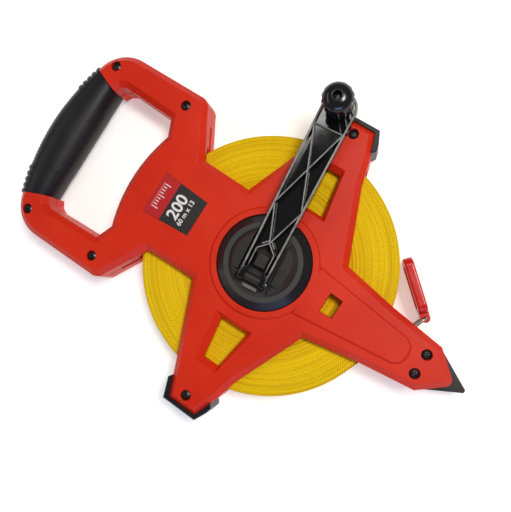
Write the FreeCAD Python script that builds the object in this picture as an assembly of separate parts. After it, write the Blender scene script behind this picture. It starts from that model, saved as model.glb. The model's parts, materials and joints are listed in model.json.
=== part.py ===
import FreeCAD, Part
import math
import os

# Open surveyor's tape reel, in millimetres. +Z is the spindle axis, towards the crank.
# +X points at the ground spike, and z = 0 is the face that the reel lies on.

V = FreeCAD.Vector
UP = V(0, 0, 1)

# Frame: two mirrored half shells that meet at the middle plane.
THICKNESS = 34.0
MIDDLE = THICKNESS / 2
PLATE_DEPTH = 9.5
PLATE_IN = THICKNESS - PLATE_DEPTH
BEVEL = 4.4
WALL = 3.2
SKIN = 3.0
RIB = 1.6
PANEL_RISE = 1.6
PANEL_R = 41.6
PANEL_EASE = 1.4
ARC_R = 125.0
ARC_END_Y = 41.0
DEEP_R = 101.5
HUB_OPENING_R = 36.0
HUB_RIM = 3.5
SEAM_STEP = 0.5
OVERLAP = 0.1

# Half outline of the frame on the +Y side, from the hand grip to the nose.
GRIP_INNER = (-176.6, 49.2)
OPENING_CORNER = [(-173.8, 54.2), (-168.6, 56.8)]
OPENING_SHOULDER = (-124.0, 54.9)
GRIP_OUTER = (-198.0, 57.9)
HANDLE_CORNER = [(-190.0, 72.6), (-170.0, 81.0)]
BRACKET_CORNER = [(-112.5, 81.2), (-104.6, 78.6), (-102.3, 75.0)]
BRACKET_FOOT = (-82.5, 40.6)
ARM_ROOT = (-40.8, 39.6)
ARM_TIP_BACK = (-6.8, 123.2)
ARM_TIP_FRONT = (16.8, 123.4)
ARM_SHOULDER = (24.6, 103.0)
ARM_WAIST = (29.0, 86.4)
NOSE_ROOT = (52.9, 30.8)
NOSE_WAIST = (95.5, 23.3)
NOSE_CORNER = (138.0, 18.0)
NOSE_TIP = (154.6, 3.6)
NOSE_END_X = 156.2

# Windows: the opening, and the wider edge of its bevel, on the +Y side.
ARM_WINDOW = [(-6.0, 51.6), (17.4, 51.2), (12.0, 83.8), (-1.4, 83.8)]
ARM_WINDOW_EDGE = [(-11.6, 48.6), (21.0, 48.3), (13.6, 88.2), (-5.2, 88.2)]
NOSE_WINDOW = [(52.8, 7.9), (63.4, 7.4)]
NOSE_WINDOW_FLARE = 0.8

# Stiffening ribs inside the plate: centre lines along the middle, and pairs on the +Y side.
MIDDLE_RIBS = [((-120, 0), (-36, 0)), ((-118, 40), (-30, -22)), ((-118, -40), (-30, 22)), ((66, 0), (118, 0))]
SIDE_RIBS = [((-34, 22), (-14, 100)), ((30, 24), (20, 96)), ((-160, 70), (-122, 66)), ((-112, 64), (-88, 44)),
             ((40, 20), (124, 12))]

# Raised panel, on the +Y side, and the slot in each bracket's side wall.
PANEL_EDGE = [(36.5, 20.0), (115.2, 10.8), (120.0, 7.0)]
PANEL_END_X = 121.6
SLOT_HALF_LENGTH = 9.5
SLOT_HALF_HEIGHT = 2.6
SLOT_DEPTH = (-1.8, 4.0)

# Screws that join the two halves.
SCREWS = [(-184.7, 66.5), (-117.7, 68.5), (4.0, 114.2), (131.7, 7.8)]
BOSS_R = 6.4
SCREW_R = 2.0
HEAD_R = 3.5
HEAD_RECESS_R = 4.0
HEAD_RECESS = 3.2
HEAD_HEIGHT = 2.5
PILOT_END = 5.0
PILOT_CLEARANCE = 0.05
HEAD_DOME = 0.45
CROSS_LENGTH = 3.2
CROSS_WIDTH = 0.9
CROSS_DEPTH = 1.4

# Hand grip, an oval rubber sleeve bowed outwards on a core bar.
CORE_X = (-197.0, -181.0)
CORE_HALF_LENGTH = 62.0
CORE_HALF_HEIGHT = 8.0
GRIP_SECTIONS = [(-64.0, -188.4, 12.2, 14.6), (-48.0, -191.0, 15.2, 15.5), (-28.0, -193.2, 17.6, 16.1),
                 (0.0, -194.4, 19.0, 16.4)]

OVAL_POINTS = 16
OVAL_POWER = 0.85

# Tape and drum.
TAPE_WIDTH = 13.0
TAPE_LOW = MIDDLE - TAPE_WIDTH / 2
TAPE_HIGH = MIDDLE + TAPE_WIDTH / 2
TAPE_THICKNESS = 0.45
CORE_R = 38.0
ROLL_R = 98.0
TAPE_ANGLE = 68.5
MOUTH = (115.1, 20.9)
MOUTH_WIDTH = 7.6
MOUTH_HEIGHT = 23.0
MOUTH_DEPTH = 12.0

# Drum turret.
DRUM_WALL = 2.5
FLANGE_GAP = 0.5
NECK_R = HUB_OPENING_R - 0.1
NECK_TOP = 34.8
RING_OUTER_R = 29.4
RING_INNER_R = 25.6
RING_TOP = 40.4
SEAT_FLOOR = 38.0
DISC_R = 21.4
DISC_TOP = 46.4
DISC_LIP = 0.3
CONE_R = RING_INNER_R - 0.2
JOURNAL_R = 23.9
JOURNAL_CLEARANCE = 0.1
REAR_FLOOR = 2.0
JOURNAL_END = REAR_FLOOR + 0.3
DRUM_SCREW_CIRCLE = 15.0
DRUM_SCREWS = 3
DRUM_BOSS_R = 4.5
DRUM_SCREW_R = 1.5
DRUM_HEAD_R = 3.0
DRUM_HEAD_HEIGHT = 2.0
DRUM_SEAT = 2.2
DRUM_SEAT_CLEARANCE = 0.3
DRUM_SCREW_TURN = 30.0
DRUM_PILOT = 8.0
ANCHOR_ANGLE = 200.0
ANCHOR_DROP = 2.0
ANCHOR_R = 1.5
ANCHOR_HEAD_R = 2.8
ANCHOR_TAIL_R = 2.4
ANCHOR_HEAD = 0.8
ANCHOR_CLEARANCE = 0.2

# Crank: its own axis runs from the hinge to the knob.
CRANK_ANGLE = 95.5
HINGE_BACK = 13.6
HINGE_Z = 46.25
KNOB_REACH = 135.2
ARM_BOTTOM = 41.5
ARM_RIM = 51.0
ARM_FLOOR = 2.0
ARM_WALL = 1.5
ARM_RIB = 1.1
ARM_HALF_ROOT = 10.6
ARM_HALF_END = 12.0
ARM_END_R = 13.0
ARM_END_PINCH = 0.25
ARM_JOIN = 2.0
END_FLOOR = 48.4
WEB_DROP = 1.4
RIB_DROP = 0.3
HOUSE_STUB = ((25.6, 4.9), (29.6, 0.9))
CROSS_RIB_S = 118.8
X_RIB_S = 56.4
APEX_S = 27.8
HOUSE = [(6.0, 6.9), (21.3, 6.9), (APEX_S, 0.0)]
LUG_INNER = 6.5
HEEL_R = HINGE_Z - ARM_BOTTOM
PIN_R = 1.5
PIN_HALF_LENGTH = 11.4
PIN_CLEARANCE = 0.06
SLOT_HALF = 13.5
POST_HALF_WIDTH = 6.2
POST_HALF_LENGTH = 3.2
LATCH_S = (9.0, 19.4)
LATCH_HALF = 4.7
LATCH_TOP = 48.2
LATCH_EASE = 0.8
SPRING_S = -6.9
SPRING_HALF = 5.8
SPRING_THICKNESS = 2.4
SPRING_LOW = SEAT_FLOOR + 1.2
SPRING_TOP = 43.4

# Knob on its shoulder screw.
KNOB_BOSS_R = 6.0
KNOB_BOSS_TOP = END_FLOOR + 0.4
WASHER = 0.5
KNOB_BASE = KNOB_BOSS_TOP + WASHER + 0.1
KNOB_TOP = 79.5
KNOB_BASE_R = 9.2
KNOB_R = 11.6
KNOB_SHOULDER = 70.5
KNOB_DOME = (9.2, 76.8)
KNOB_FLUTES = 14
FLUTE_R = 3.0
FLUTE_DEPTH = 0.95
FLUTE_GROWTH = 0.5
SHANK_R = 2.2
SHANK_CLEARANCE = 0.08
KNOB_SHELF = 73.5
KNOB_RECESS_R = 3.2
KNOB_HEAD_R = 3.0
KNOB_HEAD = 2.6
KNOB_EASE = 0.8
KNOB_PLAY = 0.1
THREAD_INSET = 0.5

# End fitting: a wire ring on the tape's end loop, and the plastic hook on the ring.
RING_WIRE_R = 1.2
RING_INSIDE = -13.0
RING_OUTSIDE = 9.0
RING_HALF = 9.3
RING_BEND = 2.6
LOOP_R = RING_WIRE_R + 0.06
HOOK_ANGLE = 139.0
HOOK_LENGTH = 45.0
HOOK_HALF = 13.0
HOOK_THICKNESS = 7.0
HOOK_BAND = 5.4
HOOK_BAR = (3.6, 7.6)
HOOK_CORNER = 6.5
HOOK_HOLE_CORNER = 3.5
HOOK_ROUNDING = 1.6
HOOK_KNUCKLE_R = 3.4
HOOK_KNUCKLE_HALF = 6.5

# Ground spike, corner feet and label.
SPIKE_THICKNESS = 3.0
SPIKE_BASE = (122.0, 12.0)
SPIKE_SHOULDER = (140.5, 16.6)
SPIKE_TIP = (167.2, 2.0)
SPIKE_END_X = 168.8
FOOT_OUTLINE = [(-13.0, 107.6), (-15.6, 111.0), (-10.2, 126.3), (18.8, 126.6), (23.4, 117.6),
                (24.8, 112.4), (21.6, 108.2)]
FOOT_INSET = 2.6
FOOT_CHAMFER = 0.8
LABEL_BACK = (-101.3, 17.2)
LABEL_FRONT = (-61.1, 14.6)
LABEL_THICKNESS = 0.3


def at(point, z=0.0):
    return V(point[0], point[1], z)


def mirrored(points):
    """The same points on the -Y side, in reverse order."""
    return [(x, -y) for x, y in reversed(points)]


def box(low, high):
    return Part.makeBox(high[0] - low[0], high[1] - low[1], high[2] - low[2], V(*low))


def cylinder(radius, z0, z1, point=(0.0, 0.0)):
    return Part.makeCylinder(radius, z1 - z0, at(point, z0))


def outline(path, z=0.0):
    """A closed wire through the path: a point is a corner, and a triple ends an arc."""
    edges = []
    here = path[0]
    for step in path[1:] + [path[0]]:
        if step[0] == "arc":
            edges.append(Part.Arc(at(here, z), at(step[1], z), at(step[2], z)).toShape())
            here = step[2]
        else:
            edges.append(Part.LineSegment(at(here, z), at(step, z)).toShape())
            here = step
    return Part.Wire(edges)


def plate(path, z0, z1):
    return Part.Face(outline(path, z0)).extrude(V(0, 0, z1 - z0))


def both_sides(shape):
    return [shape, shape.mirror(V(0, 0, 0), V(0, 1, 0))]


def revolved(profile):
    """Turns an (r, z) profile round the spindle axis."""
    points = [V(r, 0, z) for r, z in profile]
    return Part.Face(Part.makePolygon(points + points[:1])).revolve(V(0, 0, 0), UP, 360)


def fused(shapes):
    whole = shapes[0]
    if len(shapes) > 1:
        whole = whole.fuse(shapes[1:])
    return whole.removeSplitter()


def opposite(shape):
    """The same shape on the other side of the frame's middle plane."""
    return shape.mirror(V(0, 0, MIDDLE), UP)


# The frame


def frame_path():
    """The whole outline of the frame, round the hand opening, the side arms and the nose."""
    upper = [GRIP_OUTER, ("arc", HANDLE_CORNER[0], HANDLE_CORNER[1]), BRACKET_CORNER[0],
             ("arc", BRACKET_CORNER[1], BRACKET_CORNER[2]), BRACKET_FOOT, ARM_ROOT, ARM_TIP_BACK,
             ARM_TIP_FRONT, ARM_SHOULDER, ARM_WAIST, NOSE_ROOT, NOSE_WAIST, NOSE_CORNER, NOSE_TIP]
    tip = [("arc", (NOSE_END_X, 0), (NOSE_TIP[0], -NOSE_TIP[1]))]
    lower = mirrored([NOSE_ROOT, NOSE_WAIST, NOSE_CORNER])
    lower += mirrored([ARM_ROOT, ARM_TIP_BACK, ARM_TIP_FRONT, ARM_SHOULDER, ARM_WAIST])
    corner = mirrored(BRACKET_CORNER)
    handle = mirrored(HANDLE_CORNER)
    lower += mirrored([BRACKET_FOOT]) + [corner[0], ("arc", corner[1], corner[2]), handle[0],
                                         ("arc", handle[1], (GRIP_OUTER[0], -GRIP_OUTER[1]))]
    return upper + tip + lower + opening_path()


def opening_path():
    """The hand opening's edge, from the -Y grip end round to the +Y one."""
    arc_x = -math.sqrt(ARC_R ** 2 - ARC_END_Y ** 2)
    corner = OPENING_CORNER
    upper = [OPENING_SHOULDER, corner[1], corner[0], GRIP_INNER]
    return mirrored(upper) + [(arc_x, -ARC_END_Y), ("arc", (-ARC_R, 0), (arc_x, ARC_END_Y))] + upper


def eased(body, z, size):
    """The body with every edge at height z bevelled, apart from the bar ends under the grip."""
    rim = [e for e in body.Edges if all(abs(v.Z - z) < 1e-6 for v in e.Vertexes) and not at_grip_end(e)]
    return body.makeChamfer(size, rim)


def at_grip_end(edge):
    middle = edge.CenterOfMass
    x, y = (GRIP_OUTER[0] + GRIP_INNER[0]) / 2, (GRIP_OUTER[1] + GRIP_INNER[1]) / 2
    return math.hypot(middle.x - x, abs(middle.y) - y) < 1


def window_cutter(inside, edge):
    straight = plate(inside, 0, THICKNESS + 1)
    flare = Part.makeLoft([outline(inside, THICKNESS - BEVEL), outline(edge, THICKNESS)], True, True)
    return straight.fuse(flare)


def windows():
    """Every (opening, bevel edge) pair of the plate."""
    pairs = [(ARM_WINDOW, ARM_WINDOW_EDGE), (mirrored(ARM_WINDOW), mirrored(ARM_WINDOW_EDGE))]
    (x0, y0), (x1, y1) = NOSE_WINDOW
    nose = [(x0, -y0), (x1, -y1), (x1, y1), (x0, y0)]
    flare = NOSE_WINDOW_FLARE
    nose_edge = [(x0 - flare, -y0 - flare), (x1 + flare, -y1 - flare), (x1 + flare, y1 + flare),
                 (x0 - flare, y0 + flare)]
    return pairs + [(nose, nose_edge)]


def rib_lines():
    """Centre lines of the stiffening ribs inside the plate."""
    lines = list(MIDDLE_RIBS)
    for (x0, y0), (x1, y1) in SIDE_RIBS:
        lines += [((x0, y0), (x1, y1)), ((x0, -y0), (x1, -y1))]
    return lines


def rib(line, z0, z1, width=RIB):
    (x0, y0), (x1, y1) = line
    length = math.hypot(x1 - x0, y1 - y0)
    wall = Part.makeBox(length, width, z1 - z0, V(0, -width / 2, z0))
    wall.rotate(V(0, 0, 0), UP, math.degrees(math.atan2(y1 - y0, x1 - x0)))
    wall.translate(V(x0, y0, 0))
    return wall


def screw_points():
    return [(x, side * y) for x, y in SCREWS for side in (1, -1)]


def hollow(path):
    """The room inside one half: the outline moved in by the wall, less rims, bosses and ribs."""
    top = THICKNESS - SKIN
    inner = Part.Face(outline(path, MIDDLE - 1)).makeOffset2D(-WALL, 0)
    room = inner.extrude(V(0, 0, top - MIDDLE + 1))
    keep = [cylinder(HUB_OPENING_R + HUB_RIM, MIDDLE, THICKNESS)]
    keep += [cylinder(BOSS_R, MIDDLE - 1, THICKNESS, p) for p in screw_points()]
    for inside, _ in windows():
        rim = Part.Face(outline(inside, PLATE_IN)).makeOffset2D(WALL, 2)
        keep.append(rim.extrude(V(0, 0, PLATE_DEPTH)))
    keep += [rib(line, PLATE_IN, THICKNESS) for line in rib_lines()]
    return room.cut(keep)


def mouth_cutter():
    slot = box((-MOUTH_DEPTH, -MOUTH_WIDTH / 2, MIDDLE - MOUTH_HEIGHT / 2),
               (MOUTH_DEPTH, MOUTH_WIDTH / 2, MIDDLE + MOUTH_HEIGHT / 2))
    slot.rotate(V(0, 0, 0), UP, TAPE_ANGLE)
    slot.translate(at(MOUTH))
    return slot


def grip_slots():
    """A slot in each bracket's side wall, half in each frame half."""
    middle = at(((BRACKET_CORNER[2][0] + BRACKET_FOOT[0]) / 2, (BRACKET_CORNER[2][1] + BRACKET_FOOT[1]) / 2))
    slot = box((-SLOT_HALF_LENGTH, SLOT_DEPTH[0], MIDDLE - SLOT_HALF_HEIGHT),
               (SLOT_HALF_LENGTH, SLOT_DEPTH[1], MIDDLE + SLOT_HALF_HEIGHT))
    run = (BRACKET_FOOT[0] - BRACKET_CORNER[2][0], BRACKET_FOOT[1] - BRACKET_CORNER[2][1])
    slot.rotate(V(0, 0, 0), UP, math.degrees(math.atan2(run[1], run[0])))
    slot.translate(middle)
    return both_sides(slot)


def raised_panel():
    """The low platform round the hub that runs on along the nose."""
    x, y = PANEL_EDGE[-1]
    path = PANEL_EDGE + [("arc", (PANEL_END_X, 0), (x, -y))] + mirrored(PANEL_EDGE[:-1])
    top = THICKNESS + PANEL_RISE
    pieces = [plate(path, THICKNESS - 1, top), cylinder(PANEL_R, THICKNESS - 1, top)]
    return fused([eased(piece, top, PANEL_EASE) for piece in pieces])


def half_frame():
    """One half shell, as it stands in front of the middle plane."""
    path = frame_path()
    shell = eased(plate(path, PLATE_IN, THICKNESS), THICKNESS, BEVEL)
    skirt = plate(path, MIDDLE + SEAM_STEP, PLATE_IN + 1)
    seam = Part.Face(outline(path, MIDDLE)).makeOffset2D(-SEAM_STEP, 0).extrude(V(0, 0, SEAM_STEP + OVERLAP))
    skirt = skirt.fuse(seam).cut(cylinder(DEEP_R, MIDDLE - 1, PLATE_IN))
    shell = shell.fuse(skirt).cut(hollow(path))
    core = box((CORE_X[0], -CORE_HALF_LENGTH, MIDDLE), (CORE_X[1], CORE_HALF_LENGTH, MIDDLE + CORE_HALF_HEIGHT))
    shell = shell.fuse(core)
    for inside, edge in windows():
        shell = shell.cut(window_cutter(inside, edge))
    return shell


def finished_half(shell):
    """Cuts what both halves share: the mouth, the spike's seat and the bracket slots."""
    return shell.cut([mouth_cutter(), spike_plate()] + grip_slots()).removeSplitter()


def front_frame():
    """The face shell, with the hub opening, the raised panel and the screw recesses."""
    shell = half_frame().fuse(raised_panel())
    cuts = [cylinder(HUB_OPENING_R, 0, THICKNESS + 5)]
    for inside, _ in windows():
        cuts.append(plate(inside, 0, THICKNESS + 5))
    for point in screw_points():
        cuts.append(cylinder(SCREW_R, 0, THICKNESS, point))
        cuts.append(cylinder(HEAD_RECESS_R, THICKNESS - HEAD_RECESS, THICKNESS + 5, point))
    return finished_half(shell.cut(cuts))


def rear_frame():
    """The back shell, with a blind bearing for the drum's journal."""
    shell = opposite(half_frame())
    cuts = [cylinder(JOURNAL_R + JOURNAL_CLEARANCE, REAR_FLOOR, MIDDLE)]
    cuts += [cylinder(SCREW_R + PILOT_CLEARANCE, PILOT_END, MIDDLE + 1, p) for p in screw_points()]
    return finished_half(shell.cut(cuts))


def crosshead_screw(point, radius, head_r, seat, end, head):
    """A domed cross-recess screw that drops in from above."""
    shank = cylinder(radius, end, seat + 0.5, point)
    rise = head * HEAD_DOME
    dome_r = (head_r ** 2 + rise ** 2) / (2 * rise)
    dome = Part.makeSphere(dome_r, at(point, seat + head - dome_r))
    cap = cylinder(head_r, seat, seat + head, point).common(dome)
    x, y = point
    top = seat + head
    recess = [box((x - across / 2, y - along / 2, top - CROSS_DEPTH), (x + across / 2, y + along / 2, top))
              for across, along in ((CROSS_LENGTH, CROSS_WIDTH), (CROSS_WIDTH, CROSS_LENGTH))]
    return fused([shank, cap]).cut(recess)


def frame_screws():
    seat = THICKNESS - HEAD_RECESS
    return Part.makeCompound([crosshead_screw(p, SCREW_R, HEAD_R, seat, PILOT_END + 1, HEAD_HEIGHT)
                              for p in screw_points()])


def oval(y, x, half_x, half_z):
    """One section of the grip, square to Y."""
    points = []
    for i in range(OVAL_POINTS):
        angle = 2 * math.pi * i / OVAL_POINTS
        across, up = (math.copysign(abs(v) ** OVAL_POWER, v) for v in (math.cos(angle), math.sin(angle)))
        points.append(V(x + half_x * across, y, MIDDLE + half_z * up))
    curve = Part.BSplineCurve()
    curve.interpolate(points, PeriodicFlag=True)
    return Part.Wire(curve.toShape())


def hand_grip():
    sections = GRIP_SECTIONS + [(-y, x, a, b) for y, x, a, b in reversed(GRIP_SECTIONS[:-1])]
    sleeve = Part.makeLoft([oval(*s) for s in sections], True, False)
    ends = plate(frame_path(), -1, THICKNESS + 1)
    core = box((CORE_X[0], -CORE_HALF_LENGTH, MIDDLE - CORE_HALF_HEIGHT),
               (CORE_X[1], CORE_HALF_LENGTH, MIDDLE + CORE_HALF_HEIGHT))
    trimmed = sleeve.cut(ends).cut(core)
    return max(trimmed.Solids, key=lambda s: s.Volume)


def spike_plate():
    half = [SPIKE_BASE, SPIKE_SHOULDER, SPIKE_TIP]
    path = half + [("arc", (SPIKE_END_X, 0), (SPIKE_TIP[0], -SPIKE_TIP[1]))] + mirrored(half[:-1])
    return plate(path, MIDDLE - SPIKE_THICKNESS / 2, MIDDLE + SPIKE_THICKNESS / 2)


def ground_spike():
    holes = [cylinder(SCREW_R + PILOT_CLEARANCE, 0, THICKNESS, p) for p in screw_points()]
    return spike_plate().cut(holes)


def corner_foot(side):
    """A rubber shoe round the tip of a side arm."""
    path = FOOT_OUTLINE if side > 0 else mirrored(FOOT_OUTLINE)
    shoe = plate(path, FOOT_INSET, THICKNESS - FOOT_INSET)
    rims = [e for e in shoe.Edges if abs(e.Vertexes[0].Z - e.Vertexes[-1].Z) < 1e-6]
    shoe = shoe.makeChamfer(FOOT_CHAMFER, rims)
    wrapped = shoe.cut(plate(frame_path(), -1, THICKNESS + 1))
    return max(wrapped.Solids, key=lambda s: s.Volume)


def label():
    path = [(LABEL_BACK[0], -LABEL_BACK[1]), (LABEL_FRONT[0], -LABEL_FRONT[1]), LABEL_FRONT, LABEL_BACK]
    return plate(path, THICKNESS, THICKNESS + LABEL_THICKNESS)


# The reel


def drum_screw_points():
    steps = [math.radians(CRANK_ANGLE + DRUM_SCREW_TURN + 360 * i / DRUM_SCREWS) for i in range(DRUM_SCREWS)]
    return [(DRUM_SCREW_CIRCLE * math.cos(a), DRUM_SCREW_CIRCLE * math.sin(a)) for a in steps]


def drum_front():
    """The drum's front half, with the neck and the cone that stand out of the frame."""
    flange = PLATE_IN - FLANGE_GAP
    inside = CORE_R - DRUM_WALL
    neck_in = NECK_R - DRUM_WALL
    shell = revolved([(inside, MIDDLE), (CORE_R, MIDDLE), (CORE_R, flange), (NECK_R, flange), (NECK_R, NECK_TOP),
                      (RING_OUTER_R, RING_TOP), (RING_INNER_R, RING_TOP), (RING_INNER_R, SEAT_FLOOR),
                      (0, SEAT_FLOOR), (0, SEAT_FLOOR - DRUM_WALL), (RING_INNER_R, SEAT_FLOOR - DRUM_WALL),
                      (neck_in, NECK_TOP - DRUM_WALL), (neck_in, flange - DRUM_WALL), (inside, flange - DRUM_WALL)])
    posts = [cylinder(DRUM_BOSS_R, MIDDLE, SEAT_FLOOR - 1, p) for p in drum_screw_points()]
    pilots = [cylinder(DRUM_SCREW_R, MIDDLE, SEAT_FLOOR - DRUM_PILOT, p) for p in drum_screw_points()]
    return fused([shell] + posts).cut(pilots)


def spoke(radius, start, end):
    """A round bar on the tape anchor's axis, between two distances from the spindle."""
    out = radial(math.radians(ANCHOR_ANGLE))
    return Part.makeCylinder(radius, end - start, V(0, 0, MIDDLE - ANCHOR_DROP) + out * start, out)


def drum_rear():
    """The drum's rear half, whose journal turns in the rear frame."""
    inside = CORE_R - DRUM_WALL
    low = PLATE_DEPTH + FLANGE_GAP
    hollow_r = JOURNAL_R - DRUM_WALL
    floor = JOURNAL_END + DRUM_WALL
    shell = revolved([(0, JOURNAL_END), (JOURNAL_R, JOURNAL_END), (JOURNAL_R, low), (CORE_R, low), (CORE_R, MIDDLE),
                      (inside, MIDDLE), (inside, low + DRUM_WALL), (hollow_r, low + DRUM_WALL), (hollow_r, floor),
                      (0, floor)])
    posts = [cylinder(DRUM_BOSS_R, JOURNAL_END, MIDDLE, p) for p in drum_screw_points()]
    holes = [cylinder(DRUM_SCREW_R, 0, MIDDLE, p) for p in drum_screw_points()]
    seat_r = DRUM_HEAD_R + DRUM_SEAT_CLEARANCE
    seats = [cylinder(seat_r, 0, JOURNAL_END + DRUM_SEAT, p) for p in drum_screw_points()]
    rivet_hole = spoke(ANCHOR_R, inside - OVERLAP, CORE_R + OVERLAP)
    return fused([shell] + posts).cut(holes + seats + [rivet_hole])


def radial(angle):
    return V(math.cos(angle), math.sin(angle), 0)


def drum_screws():
    seat = JOURNAL_END + DRUM_SEAT
    end = SEAT_FLOOR - DRUM_PILOT - 1
    made = []
    for point in drum_screw_points():
        screw = crosshead_screw(point, DRUM_SCREW_R, DRUM_HEAD_R, -seat, -end, DRUM_HEAD_HEIGHT)
        made.append(screw.mirror(V(0, 0, 0), UP))
    return Part.makeCompound(made)


def tape_anchor():
    """The rivet that holds the tape's inner end on the drum."""
    inside = CORE_R - DRUM_WALL
    shank = spoke(ANCHOR_R, inside - ANCHOR_HEAD, CORE_R + ANCHOR_HEAD)
    head = spoke(ANCHOR_HEAD_R, CORE_R + OVERLAP, CORE_R + OVERLAP + ANCHOR_HEAD)
    tail = spoke(ANCHOR_TAIL_R, inside - OVERLAP - ANCHOR_HEAD, inside - OVERLAP)
    return fused([shank, head, tail])


def tape_roll():
    roll = revolved([(CORE_R, TAPE_LOW), (ROLL_R, TAPE_LOW), (ROLL_R, TAPE_HIGH), (CORE_R, TAPE_HIGH)])
    pocket = spoke(ANCHOR_HEAD_R + ANCHOR_CLEARANCE, CORE_R - OVERLAP, CORE_R + ANCHOR_HEAD + ANCHOR_CLEARANCE)
    return roll.cut(pocket)


def crank_frame(shape):
    """Moves a crank piece from its own axes, hinge at the origin, to its place on the drum."""
    shape.rotate(V(0, 0, 0), UP, CRANK_ANGLE)
    shape.translate(radial(math.radians(CRANK_ANGLE)) * -HINGE_BACK)
    return shape


def crossbar(radius, half_length):
    """A round bar on the hinge's axis, in the crank's own axes."""
    return Part.makeCylinder(radius, 2 * half_length, V(0, -half_length, HINGE_Z), V(0, 1, 0))


def crank_seat():
    """The insert that carries the crank: hinge post, snap block and the split disc."""
    base = cylinder(RING_INNER_R, SEAT_FLOOR, RING_TOP)
    cone = Part.makeCone(CONE_R, DISC_R, DISC_TOP - RING_TOP, V(0, 0, RING_TOP))
    top = cylinder(DISC_R, DISC_TOP, DISC_TOP + DISC_LIP)
    slot = crank_frame(box((-CONE_R, -SLOT_HALF, RING_TOP), (2 * CONE_R, SLOT_HALF, DISC_TOP + 1)))
    post = box((-POST_HALF_LENGTH, -POST_HALF_WIDTH, RING_TOP - 1), (POST_HALF_LENGTH, POST_HALF_WIDTH, HINGE_Z))
    knuckle = crossbar(POST_HALF_LENGTH, POST_HALF_WIDTH)
    block = box((LATCH_S[0], -LATCH_HALF, RING_TOP - 1), (LATCH_S[1], LATCH_HALF, LATCH_TOP))
    fittings = crank_frame(fused([post, knuckle, eased(block, LATCH_TOP, LATCH_EASE)]))
    bore = crank_frame(crossbar(PIN_R, CONE_R))
    seat = fused([base, cone, top]).cut(slot).fuse(fittings).cut(bore)
    groove = crank_frame(spring_bar())
    return seat.cut(groove).removeSplitter()


def spring_bar():
    return box((SPRING_S - SPRING_THICKNESS / 2, -SPRING_HALF, SPRING_LOW),
               (SPRING_S + SPRING_THICKNESS / 2, SPRING_HALF, SPRING_TOP))


def detent_spring():
    return crank_frame(spring_bar())


def hinge_pin():
    return crank_frame(crossbar(PIN_R, PIN_HALF_LENGTH))


# The crank


def arm_half_width(s):
    return ARM_HALF_ROOT + (ARM_HALF_END - ARM_HALF_ROOT) * s / CROSS_RIB_S


def arm_path(inset):
    """The channel's outline, hinge end to rounded knob end, moved in by inset."""
    start = -HEEL_R if inset == 0 else HEEL_R + 1.0
    end_r = ARM_END_R - inset
    edge = ARM_END_R - ARM_END_PINCH - inset
    join = KNOB_REACH - ARM_JOIN
    root = arm_half_width(0) - inset
    return [(start, -root), (join, -edge), ("arc", (KNOB_REACH + end_r, 0), (join, edge)), (start, root)]


def arm_ribs():
    """Centre lines of the ribs, in the arm's own axes."""
    wide = arm_half_width(CROSS_RIB_S) - ARM_WALL / 2
    mid = arm_half_width(X_RIB_S) - ARM_WALL / 2
    lines = [((CROSS_RIB_S, -wide), (CROSS_RIB_S, wide))]
    for side in (1, -1):
        lines.append(((CROSS_RIB_S, side * wide), (X_RIB_S, -side * mid)))
        lines.append(((X_RIB_S, side * mid), (APEX_S, 0)))
        corners = [(s, side * w) for s, w in HOUSE]
        lines += list(zip(corners[:-1], corners[1:]))
        lines.append(tuple((s, side * w) for s, w in HOUSE_STUB))
    return lines


def arm_web():
    """The filled triangle between the cross rib and the upper ribs."""
    wide = arm_half_width(CROSS_RIB_S) - ARM_WALL
    crossing = (CROSS_RIB_S + X_RIB_S) / 2 - 1
    return plate([(CROSS_RIB_S, -wide), (CROSS_RIB_S, wide), (crossing, 0)], ARM_BOTTOM, ARM_RIM - WEB_DROP)


def end_tray(low):
    """The room at the knob's end of the channel, from a height up to its raised floor."""
    start = CROSS_RIB_S + ARM_RIB / 2 - OVERLAP
    beyond = box((start, -ARM_END_R, low), (KNOB_REACH + ARM_END_R, ARM_END_R, END_FLOOR))
    return plate(arm_path(ARM_WALL), low, END_FLOOR).common(beyond)


def heel_cutter():
    """What is cut off the hinge end so that it is round about the pin."""
    block = box((-2 * HEEL_R, -CONE_R, ARM_BOTTOM - 1), (0, CONE_R, ARM_RIM + 1))
    return block.cut(crossbar(HEEL_R, CONE_R))


def crank_arm():
    channel = plate(arm_path(0), ARM_BOTTOM, ARM_RIM)
    tray = plate(arm_path(ARM_WALL), ARM_BOTTOM + ARM_FLOOR, ARM_RIM + 1)
    channel = channel.cut([tray, end_tray(ARM_BOTTOM - 1)]).fuse(end_tray(END_FLOOR - ARM_FLOOR))
    between = HOUSE[0][1] - ARM_RIB / 2
    inner = arm_half_width(0) - ARM_WALL
    ribs = [rib(line, ARM_BOTTOM + OVERLAP, ARM_RIM - RIB_DROP, ARM_RIB) for line in arm_ribs()]
    back, eaves = -2 * HEEL_R, HOUSE[1][0]
    roof = [(back, -between), (eaves, -between), (APEX_S - ARM_RIB, 0), (eaves, between), (back, between)]
    lugs = box((-HEEL_R, LUG_INNER, ARM_BOTTOM), (HEEL_R + ARM_WALL, inner + OVERLAP, ARM_RIM))
    boss = cylinder(KNOB_BOSS_R, ARM_BOTTOM, KNOB_BOSS_TOP, (KNOB_REACH, 0))
    solid = fused([channel, boss, arm_web()] + ribs)
    gap = plate(roof, ARM_BOTTOM - 1, ARM_RIM + 1)
    solid = solid.cut(gap).fuse(both_sides(lugs))
    pin_hole = crossbar(PIN_R + PIN_CLEARANCE, CONE_R)
    thread = cylinder(SCREW_R, ARM_BOTTOM - 1, KNOB_BOSS_TOP + 1, (KNOB_REACH, 0))
    envelope = plate(arm_path(0), ARM_BOTTOM, ARM_RIM)
    solid = solid.common(envelope).cut([pin_hole, thread, heel_cutter()])
    return crank_frame(solid.removeSplitter())


def on_knob(shape):
    shape.translate(V(KNOB_REACH, 0, 0))
    return crank_frame(shape)


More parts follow.
